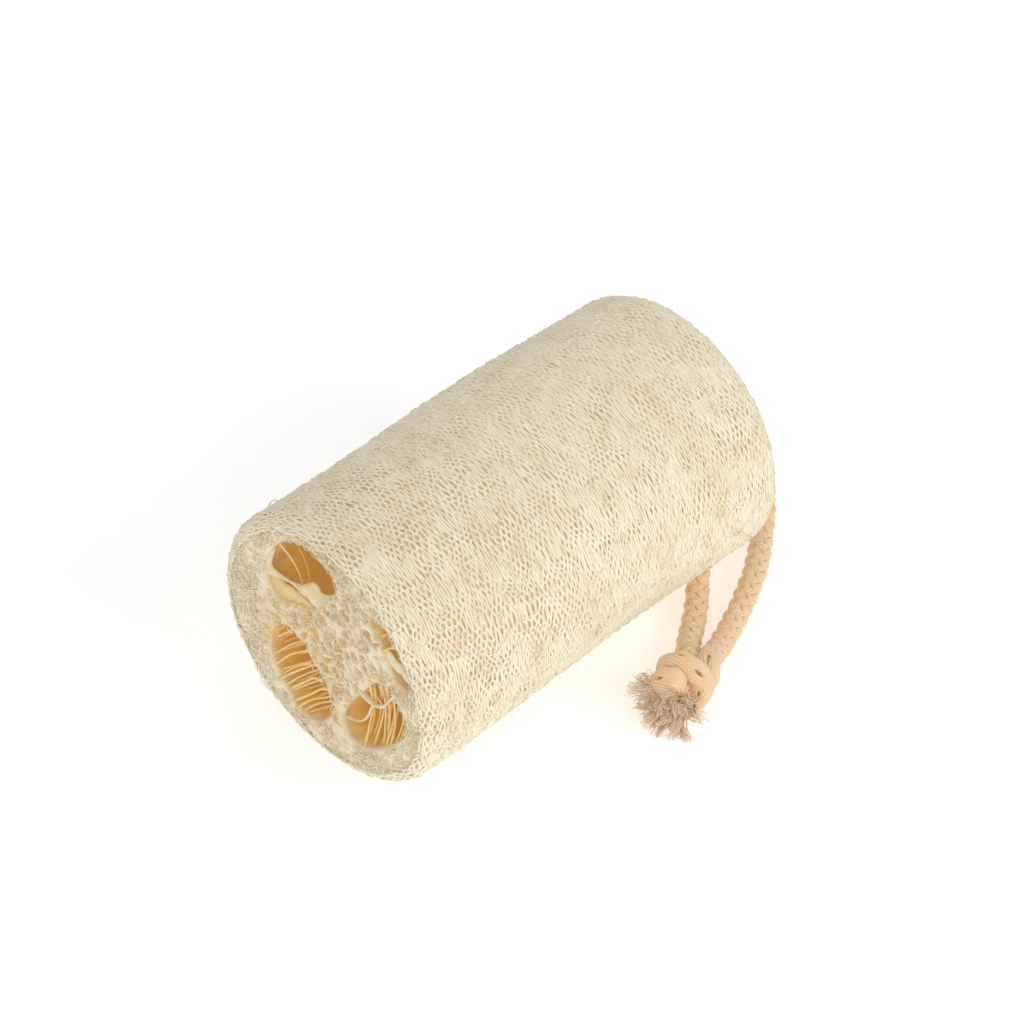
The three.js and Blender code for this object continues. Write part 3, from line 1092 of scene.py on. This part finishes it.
    def felt_mesh(self) -> bpy.types.Mesh:
        """Makes the loose fine fibres felted over the skin.

        Returns:
            The mesh, in metres.
        """
        shape = self.shape
        rng = np.random.default_rng(5)
        count = self.felt_count
        middle = rng.uniform(0.8, shape.run - 1.0, count)
        turn = rng.uniform(0, 2 * np.pi, count)
        lean = rng.normal(0, 1.0, count)
        length = rng.uniform(1.1, 3.4, count)
        share, ahead, aside = bowed(lean, rng.normal(0, 0.45, count), length, self.felt_steps)
        run = np.clip(middle[:, None] + aside, 0.2, shape.run - 0.2)
        angle = turn[:, None] + ahead / shape.radius
        rise = rng.uniform(-0.05, 0.2, count)[:, None]
        lift = rise - 0.45 * (2 * np.abs(share)) ** 2
        paths, outward = shape.skin(run, angle, lift)
        thick = rng.uniform(0.09, 0.16, count)[:, None] * (1 - 0.4 * (2 * np.abs(share)) ** 3)
        tone = np.repeat(rng.uniform(0.72, 0.95, count)[:, None], self.felt_steps + 1, axis=1)
        return FibreStock(count, self.felt_steps).bent(paths, thick, outward, tone)

    def fuzz_mesh(self) -> bpy.types.Mesh:
        """Makes the short broken fibre ends that stand off the skin, and a few long loose fibres.

        Returns:
            The mesh, in metres.
        """
        shape = self.shape
        rng = np.random.default_rng(8)
        steps = 4
        count = self.fuzz_count
        share = np.linspace(0, 1, steps + 1)[None, :]
        middle = rng.uniform(0.5, shape.run - 0.5, count)
        turn = rng.uniform(0, 2 * np.pi, count)
        lean = rng.uniform(0, 2 * np.pi, count)
        length = rng.uniform(0.7, 1.7, count)
        stand = rng.uniform(0.15, 0.6, count)
        loose = np.arange(count) < self.loose_fibres
        length = np.where(loose, rng.uniform(5, 9, count), length)
        stand = np.where(loose, 0.0, stand)
        lean = np.where(loose, rng.normal(0, 0.6, count), lean)
        reach = length[:, None] * share
        run = np.clip(middle[:, None] + reach * np.sin(lean[:, None]), 0.1, shape.run - 0.1)
        angle = turn[:, None] + reach * np.cos(lean[:, None]) / shape.radius
        bow = np.where(loose, rng.uniform(0.5, 0.9, count), 0)[:, None] * np.sin(np.pi * share)
        lift = -0.3 + stand[:, None] * reach + bow * 1.2
        paths, outward = shape.skin(run, angle, lift)
        thick = rng.uniform(0.06, 0.11, count)[:, None] * (1 - 0.5 * share)
        thick = np.where(loose[:, None], 0.15, thick)
        tone = np.repeat(rng.uniform(0.85, 1.0, count)[:, None], steps + 1, axis=1)
        return FibreStock(count, steps).bent(paths, thick, outward, tone)

    def face_mesh(self, open_end: bool) -> bpy.types.Mesh:
        """Makes the matted fibre ends on one end face.

        Args:
            open_end: Whether it is the open end's face.

        Returns:
            The mesh, in metres.
        """
        shape = self.shape
        rng = np.random.default_rng(17 if open_end else 18)
        steps = 3
        tries = self.rim_fibres * 5
        reach = (shape.radius - 0.6) * np.sqrt(rng.uniform(0, 1, tries))
        turn = rng.uniform(0, 2 * np.pi, tries)
        course = turn + np.pi / 2 + rng.normal(0, 1.1, tries)
        length = rng.uniform(1.0, 2.8, tries)
        share, ahead, aside = bowed(course, rng.normal(0, 0.5, tries), length, steps)
        y = (reach * np.cos(turn))[:, None] + ahead
        z = (reach * np.sin(turn))[:, None] + aside
        clear = self.channel_gap(y, z).min(axis=1) > 0.3
        clear &= np.hypot(y, z).max(axis=1) < shape.radius - 0.3
        core = np.hypot(y, z).mean(axis=1) < self.core_radius
        rim_count = self.rim_fibres if open_end else self.rim_fibres // 2
        pick = np.concatenate(
            [
                np.flatnonzero(clear & ~core)[:rim_count],
                np.flatnonzero(clear & core)[: self.core_fibres],
            ]
        )
        y, z = y[pick], z[pick]
        count = len(pick)
        r = np.hypot(y, z)
        inset = shape.end_drop(r, open_end) + rng.uniform(0.05, 0.6, count)[:, None]
        inset = inset + 0.4 * (2 * np.abs(share)) ** 2
        x = -shape.length / 2 + inset if open_end else shape.length / 2 - inset
        angle = np.arctan2(z, y)
        swell = shape.swell(angle, x) * (r / shape.radius) ** 2
        height = shape.axis_height + z + swell * np.sin(angle)
        paths = np.stack([x, y + swell * np.cos(angle), height], axis=-1)
        paths[..., 2] = np.maximum(paths[..., 2], 0.3)
        facing_way = -1.0 if open_end else 1.0
        outward = np.broadcast_to(np.array([facing_way, 0, 0]), paths.shape)
        thick = rng.uniform(0.08, 0.14, count)[:, None] * np.ones_like(y)
        tone = np.repeat(rng.uniform(0.62, 0.88, count)[:, None], steps + 1, axis=1)
        return FibreStock(count, steps).bent(paths, thick, outward, tone)

    def string_mesh(self) -> bpy.types.Mesh:
        """Makes the strings that cross the channels inside their mouths.

        Returns:
            The mesh, in metres.
        """
        rng = np.random.default_rng(29)
        steps = 12
        share = np.linspace(0, 1, steps + 1)
        ends, depths, halves, tones = [], [], [], []
        for row in self.strings:
            low, high = self.channels[row.channel].spread(row.angle)
            for k in range(row.count):
                part = row.low + (row.high - row.low) * (k + rng.uniform(0.1, 0.9)) / row.count
                ends.append(self.channels[row.channel].crossing(row.angle, low + (high - low) * part))
                depths.append(rng.uniform(*row.depth) + rng.normal(0, 0.8, 2))
                halves.append(rng.uniform(*row.half))
                tones.append(rng.uniform(*row.tone))
        ends, depths = np.array(ends), np.maximum(np.array(depths), 0.5)
        count = len(ends)
        flat = ends[:, None, 0] + (ends[:, 1] - ends[:, 0])[:, None, :] * share[None, :, None]
        index = np.repeat(np.arange(count)[:, None] * 7.1, steps + 1, axis=1)
        spot = np.stack([index, np.tile(share * 3, (count, 1)), 0 * index], axis=-1)
        flat = flat + 0.45 * np.stack([smooth_noise(spot, 51), smooth_noise(spot, 52)], axis=-1)
        x = -self.shape.length / 2 + depths[:, :1] + (depths[:, 1:] - depths[:, :1]) * share[None, :]
        x = x + 1.2 * np.sin(np.pi * share)[None, :]
        paths = np.stack([x, flat[..., 0], self.shape.axis_height + flat[..., 1]], axis=-1)
        outward = np.broadcast_to(np.array([-1.0, 0.2, 0.3]), paths.shape)
        thick = np.array(halves)[:, None] * (1.5 - np.sin(np.pi * share) * 0.5)[None, :]
        # Painted shade: the strings inside the channel mouths carry low ochre tones for the shade and warm
        # inter-reflected light there.
        tone = np.repeat(np.array(tones)[:, None], steps + 1, axis=1)
        return FibreStock(count, steps, 4).bent(paths, thick, outward, tone)

    def membrane_mesh(self) -> bpy.types.Mesh:
        """Makes the skin that half closes the top channel, with a hole and a slit left in it.

        Returns:
            The mesh, in metres.
        """
        channel = self.channels["top"]
        hole, slit = SeedChannel(self.upper_hole), SeedChannel(self.upper_slit)
        low, high = channel.outline.min(axis=0) - 1, channel.outline.max(axis=0) + 1
        count = int((high - low).max() / 0.3)
        bm = bmesh.new()
        bmesh.ops.create_grid(bm, x_segments=count, y_segments=count, size=float((high - low).max()) / 2)
        middle = (low + high) / 2
        bmesh.ops.translate(bm, verts=bm.verts[:], vec=(float(middle[0]), float(middle[1]), 0))
        places = np.array([f.calc_center_median()[:2] for f in bm.faces])
        y, z = places[:, 0], places[:, 1]
        keep = (channel.gap(y, z) < 0.6) & (hole.gap(y, z) > 0) & (slit.gap(y, z) > 0) & (z < 17)
        faces = bm.faces[:]
        bmesh.ops.delete(bm, geom=[f for f, k in zip(faces, keep) if not k], context="FACES")
        edge = [v for v in bm.verts if v.is_boundary]
        y, z = np.array([v.co.x for v in edge]), np.array([v.co.y for v in edge])
        for cut in (hole, slit):
            near = np.flatnonzero(np.abs(cut.gap(y, z)) < 0.32)
            new_y, new_z = cut.nearest(y[near], z[near])
            for k, a, b in zip(near, new_y, new_z):
                edge[k].co.x, edge[k].co.y = a, b
        drawn = bmesh.ops.extrude_face_region(bm, geom=bm.faces[:])["geom"]
        bmesh.ops.translate(bm, verts=verts_of(drawn), vec=(0, 0, 1))
        bmesh.ops.recalc_face_normals(bm, faces=bm.faces[:])
        mesh = stored(bm, "membrane")
        flat = mesh_points(mesh)
        y, z, back = flat[:, 0], flat[:, 1], flat[:, 2]
        spot = np.stack([y, z, 0 * y], axis=-1)
        lip = np.clip(1 - hole.gap(y, z) / 1.5, 0, 1)
        dip = np.clip(1 - slit.gap(y, z) / 1.2, 0, 1)
        below = smooth_step(9.3 - z + 0.1 * (y - 9), 0, 2)
        depth = 1.2 + 0.5 * lip**2 + 0.8 * dip**2 + 0.7 * below + 0.28 * smooth_noise(spot / 1.3, 57)
        x = -self.shape.length / 2 + depth + 0.45 * back
        # Painted shade: the membrane is darker where it sits lower and farther in, and along the slit's edge.
        tone = 0.56 - 0.14 * below - 0.14 * dip + 0.10 * smooth_noise(spot / 1.1, 58)
        finish_mesh(mesh, np.stack([x, y, self.shape.axis_height + z], axis=1), tone)
        return mesh

    def web_mesh(self) -> bpy.types.Mesh:
        """Makes the thin skins between the hollows of the open end.

        Returns:
            The mesh, in metres.
        """
        steps = 26
        paths, outs, thicks, widths, tones = [], [], [], [], []
        for index, web in enumerate(self.webs):
            line = smooth_curve(np.array(web.points), steps + 1)
            ahead = unit(np.gradient(line, axis=0))
            share = np.linspace(0, 1, steps + 1)
            spot = np.stack([share * 9, np.full_like(share, 5.3 * index), 0 * share], axis=-1)
            rough = smooth_noise(spot, 55)
            x = -self.shape.length / 2 + web.depth + 0.35 * smooth_noise(spot * 0.6, 56)
            paths.append(np.stack([x, line[:, 0], self.shape.axis_height + line[:, 1]], axis=1))
            outs.append(np.stack([0 * share, -ahead[:, 1], ahead[:, 0]], axis=1))
            thicks.append(web.half * (1 + 0.3 * rough))
            widths.append(web.reach * (1 + 0.2 * rough))
            tones.append(web.tone + 0.06 * rough)
        stock = FibreStock(len(self.webs), steps, 8)
        return stock.bent(*(np.array(part) for part in (paths, thicks, outs, tones, widths)))


@dataclass
class CottonCord:
    """The braided cord: a loop through the sponge's wall, its knot and its frayed ends."""

    finish: CottonFinish = field(default_factory=CottonFinish)
    diameter: float = 5.0
    outer_half: float = 2.7
    lay: float = 14.0
    wave: float = 0.46
    carriers: int = 4
    yarns: int = 4
    yarn_half: float = 0.40
    step: float = 0.62
    route: tuple[tuple[float, float, float], ...] = (
        (16.8, -34.6, 5.6), (19.8, -31.6, 3.6), (24.4, -28.3, 2.75), (28.8, -25.4, 3.0),
        (32.6, -22.4, 4.6), (35.6, -19.6, 7.8), (38.4, -16.6, 12.2), (42.2, -13.6, 16.8),
        (47, -12, 19.8), (52, -11.6, 20.6), (57, -12, 19), (60.2, -13.2, 15), (60.8, -15, 10),
        (58.8, -17.2, 5.4), (55.6, -19.6, 3.2), (51.5, -22.6, 2.75), (46.4, -25.8, 2.75),
        (37.4, -30.4, 2.75), (27.6, -34.5, 2.9), (22.4, -36.7, 4.2), (18.4, -38.2, 6.2),
    )
    knot_centre: tuple[float, float, float] = (10.2, -39.3, 6.5)
    knot_axis: tuple[float, float, float] = (-0.90, -0.44, 0.0)
    knot_coil: float = 3.8
    knot_turns: float = 1.75
    knot_pitch: float = 4.3
    knot_lay: float = 30.0
    knot_wave: float = 0.16
    tails: tuple[tuple[tuple[float, float, float], tuple[float, float, float]], ...] = (
        ((6.6, -38.2, 4.4), (-1.0, -36.4, 1.9)),
        ((7.0, -41.2, 4.6), (0.2, -42.4, 2.2)),
    )
    locks: int = 30
    lock_yarns: int = 14
    material: bpy.types.Material = field(init=False)

    def build(self) -> list[bpy.types.Object]:
        """Returns:
            The pieces.
        """
        self.material = self.finish.make()
        points = np.array(self.route)
        line = smooth_curve(points, 400)
        length = float(np.linalg.norm(np.diff(line, axis=0), axis=1).sum())
        line = smooth_curve(points, int(length / self.step) + 1)
        loop = self._piece("cord_braid", self.braid_mesh(line, self.lay, self.wave), Node.LOOP)
        knot = self._piece("cord_knot_wrap", self.knot_mesh(), Node.KNOT)
        core = self._piece("cord_knot_core", self.core_mesh(), Node.KNOT)
        frayed = self._piece("cord_frayed_ends", self.frayed_mesh(), Node.KNOT)
        LOG.info("cord loop: %.1f mm", length)
        return [loop, knot, core, frayed]

    def _piece(self, name: str, mesh: bpy.types.Mesh, node: Node) -> bpy.types.Object:
        """Places one mesh of the cord."""
        return place_piece(name, mesh, self.material, node)

    def frames(self, line: np.ndarray) -> tuple[np.ndarray, np.ndarray]:
        """Gives two directions across a line that don't twist along it.

        Args:
            line: The places along the line.

        Returns:
            The two directions at each place.
        """
        ahead = unit(np.gradient(line, axis=0))
        first = np.zeros_like(line)
        guess = np.array([0.0, 0.0, 1.0]) if abs(ahead[0][2]) < 0.9 else np.array([1.0, 0.0, 0.0])
        for k, way in enumerate(ahead):
            guess = unit(guess - (guess @ way) * way)
            first[k] = guess
        return first, np.cross(ahead, first)

    def braid_mesh(self, line: np.ndarray, lay: float, wave: float) -> bpy.types.Mesh:
        """Makes a braid along a line.

        Args:
            line: The middle of the cord.
            lay: Length of one full turn of a carrier.
            wave: How far the carriers rise and dip as they cross.

        Returns:
            The mesh, in metres.
        """
        first, second = self.frames(line)
        along = np.concatenate([[0], np.cumsum(np.linalg.norm(np.diff(line, axis=0), axis=1))])
        rate = 2 * np.pi / lay
        middle = self.outer_half - self.yarn_half - wave
        # Painted shade: the core is cotton like the yarns, given a dark tone so the gaps between yarns read as
        # shade.
        paths, outs, tones = [line], [first], [np.full(len(line), 0.2)]
        for hand, carrier, yarn in itertools.product((1, -1), range(self.carriers), range(self.yarns)):
            side = (yarn - (self.yarns - 1) / 2) * self.yarn_half * 1.25
            angle = hand * rate * along + 2 * np.pi * carrier / self.carriers + side / middle / 0.8
            over = hand * np.cos(self.carriers * rate * along + hand * side * 0.5)
            crown = -0.14 * (2 * side / (self.yarns * self.yarn_half)) ** 2
            spot = np.stack([along / 1.2, np.full_like(along, 9.3 * len(paths)), 0 * along], axis=-1)
            far = middle + wave * over + crown + 0.09 * smooth_noise(spot, 61)
            out = np.cos(angle)[:, None] * first + np.sin(angle)[:, None] * second
            paths.append(line + far[:, None] * out)
            outs.append(out)
            # Painted shade: yarns are darker where they dip under a crossing carrier and at the edges of each
            # carrier.
            tones.append(0.60 + 0.17 * over + 0.12 * smooth_noise(spot, 62) - 0.14 * np.abs(side))
        thick = np.full((len(paths), len(line)), self.yarn_half)
        thick[0] = middle - 0.25
        return FibreStock(len(paths), len(line) - 1, 5).bent(
            np.array(paths), thick, np.array(outs), np.array(tones)
        )

    def knot_mesh(self) -> bpy.types.Mesh:
        """Makes the knot's wrap: one strand that goes round the other and out as a tail.

        Returns:
            The mesh, in metres.
        """
        axis = unit(np.array(self.knot_axis))
        up = np.array([0.0, 0.0, 1.0])
        side = np.cross(up, axis)
        share = np.linspace(-0.5, 0.5, 15)[:, None]
        angle = 2 * np.pi * self.knot_turns * share + 0.5
        coil = (
            np.array(self.knot_centre)
            + axis * self.knot_pitch * self.knot_turns * share
            + up * self.knot_coil * np.cos(angle)
            + side * self.knot_coil * np.sin(angle)
        )
        points = np.vstack([self.route[-1], coil, self.tails[0][0]])
        return self.braid_mesh(self.spaced(points), self.knot_lay, self.knot_wave)

    def core_mesh(self) -> bpy.types.Mesh:
        """Makes the strand that runs through the knot's middle and out as the other tail.

        Returns:
            The mesh, in metres.
        """
        points = np.array([self.route[0], (13.6, -36.8, 6.0), self.knot_centre, self.tails[1][0]])
        return self.braid_mesh(self.spaced(points), self.lay, self.knot_wave)

    def spaced(self, points: np.ndarray) -> np.ndarray:
        """Gives a smooth line through points, in steps of the braid."""
        rough = smooth_curve(points, 200)
        length = float(np.linalg.norm(np.diff(rough, axis=0), axis=1).sum())
        return smooth_curve(points, int(length / self.step) + 1)

    def frayed_mesh(self) -> bpy.types.Mesh:
        """Makes the two cord ends, opened out into curly locks of loose yarn.

        Returns:
            The mesh, in metres.
        """
        rng = np.random.default_rng(43)
        steps = 8
        share = np.linspace(0, 1, steps + 1)[:, None]
        paths, thicks, tones = [], [], []
        for start, end in self.tails:
            start, end = np.array(start), np.array(end)
            way = unit(end - start)
            across = unit(np.cross(way, [0, 0, 1.0]))
            up = np.cross(across, way)
            for _ in range(self.locks):
                turn = rng.uniform(0, 2 * np.pi)
                reach = math.sqrt(rng.uniform(0.02, 1))
                out = math.cos(turn) * across + math.sin(turn) * up
                length = np.linalg.norm(end - start) * rng.uniform(0.7, 1.2) * (1.05 - 0.3 * reach)
                course = unit(way + out * reach * 0.62)
                curl = rng.normal(0, 1.7, 3)
                sway = rng.normal(0, 0.9, 3)
                lock = start - way * 1.2 + out * reach * 2.1 + course * length * share
                lock = lock + curl * share**2 + sway * np.sin(share * rng.uniform(3, 7))
                shade = rng.uniform(0.50, 0.84)
                for _ in range(self.lock_yarns):
                    part = rng.normal(0, 0.34, 3) * (0.5 + 1.3 * share**1.5)
                    kink = rng.normal(0, 0.18, (steps + 1, 3))
                    line = lock + part + kink - course * rng.uniform(0, 1.2) * share
                    line[:, 2] = np.maximum(line[:, 2], 0.24)
                    paths.append(line)
                    thicks.append(rng.uniform(0.11, 0.20) * (1 - 0.5 * share[:, 0]))
                    tones.append(shade + rng.normal(0, 0.06) + 0.16 * share[:, 0])
        paths = np.array(paths)
        outward = np.broadcast_to(np.array([0.2, 0.3, 1.0]), paths.shape)
        return FibreStock(len(paths), steps).bent(paths, np.array(thicks), outward, np.array(tones))


@dataclass(frozen=True)
class Lamp:
    """One soft square light that faces the sponge: its place and side in metres, its power in watts."""

    name: str
    place: tuple[float, float, float]
    size: float
    power: float


@dataclass
class Studio:
    """The white floor, the soft lights and the camera."""

    floor_finish: FloorFinish = field(default_factory=FloorFinish)
    floor_half: float = 2.5
    camera_place: tuple[float, float, float] = (-0.3515, -0.3489, 0.4766)
    azimuth: float = -45.275
    elevation: float = 41.819
    lens: float = 119.0
    world_strength: float = 0.52
    lamps: tuple[Lamp, ...] = (
        Lamp("front_lamp", (-0.66, -0.52, 0.68), 0.6, 2.1),
        Lamp("side_lamp", (0.20, -0.85, 0.50), 0.5, 2.8),
        Lamp("top_lamp", (0.05, 0.15, 1.05), 0.8, 1.0),
    )
    lamp_target: tuple[float, float, float] = (0.0, 0.0, 0.03)

    def build(self) -> None:
        """Builds the floor, the light and the camera."""
        self._floor()
        self._lights()
        self._camera()

    def _floor(self) -> None:
        """Lays the floor just under the sponge."""
        bm = bmesh.new()
        bmesh.ops.create_grid(bm, x_segments=1, y_segments=1, size=self.floor_half)
        mesh = stored(bm, "studio_floor")
        mesh.materials.append(self.floor_finish.make())
        floor = bpy.data.objects.new("studio_floor", mesh)
        bpy.context.scene.collection.objects.link(floor)

    def _hang(self, lamp: Lamp) -> None:
        """Hangs one soft light.

        Args:
            lamp: The light.
        """
        light = bpy.data.lights.new(lamp.name, "AREA")
        light.size = lamp.size
        light.energy = lamp.power
        hung = bpy.data.objects.new(lamp.name, light)
        bpy.context.scene.collection.objects.link(hung)
        back = unit(np.array(lamp.place) - np.array(self.lamp_target))
        right = unit(np.cross([0, 0, 1.0], back))
        hung.matrix_world = facing(right, np.cross(back, right), back, np.array(lamp.place))

    def _lights(self) -> None:
        """Sets the soft light of the room and hangs the lamps."""
        world = bpy.data.worlds.new("studio_light")
        world.use_nodes = True
        shade = world.node_tree.nodes["Background"]
        shade.inputs["Color"].default_value = (1, 1, 1, 1)
        shade.inputs["Strength"].default_value = self.world_strength
        bpy.context.scene.world = world
        for lamp in self.lamps:
            self._hang(lamp)
        bpy.context.scene.view_settings.view_transform = "Standard"

    def _camera(self) -> None:
        """Sets the camera at the picture's angle."""
        data = bpy.data.cameras.new("picture_camera")
        data.sensor_width = 36.0
        data.lens = self.lens
        data.clip_start = 0.01
        camera = bpy.data.objects.new("picture_camera", data)
        bpy.context.scene.collection.objects.link(camera)
        a, e = math.radians(self.azimuth), math.radians(self.elevation)
        back = np.array([math.sin(a) * math.cos(e), -math.cos(a) * math.cos(e), math.sin(e)])
        right = np.array([math.cos(a), math.sin(a), 0.0])
        camera.matrix_world = facing(right, np.cross(back, right), back, np.array(self.camera_place))
        bpy.context.scene.camera = camera


def facing(right: np.ndarray, up: np.ndarray, back: np.ndarray, place: np.ndarray) -> Matrix:
    """Gives the placing of a camera or lamp.

    Args:
        right: Its right-hand direction.
        up: Its upward direction.
        back: The direction it faces away from.
        place: Where it stands.

    Returns:
        The matrix.
    """
    rows = [[float(right[k]), float(up[k]), float(back[k]), float(place[k])] for k in range(3)]
    return Matrix(rows + [[0, 0, 0, 1]])


def main() -> None:
    """Builds the studio, the cord and the sponge."""
    logging.basicConfig(level=logging.INFO, format="%(message)s")
    Studio().build()
    CottonCord().build()
    Loofah().build()


if __name__ == "__main__":
    main()
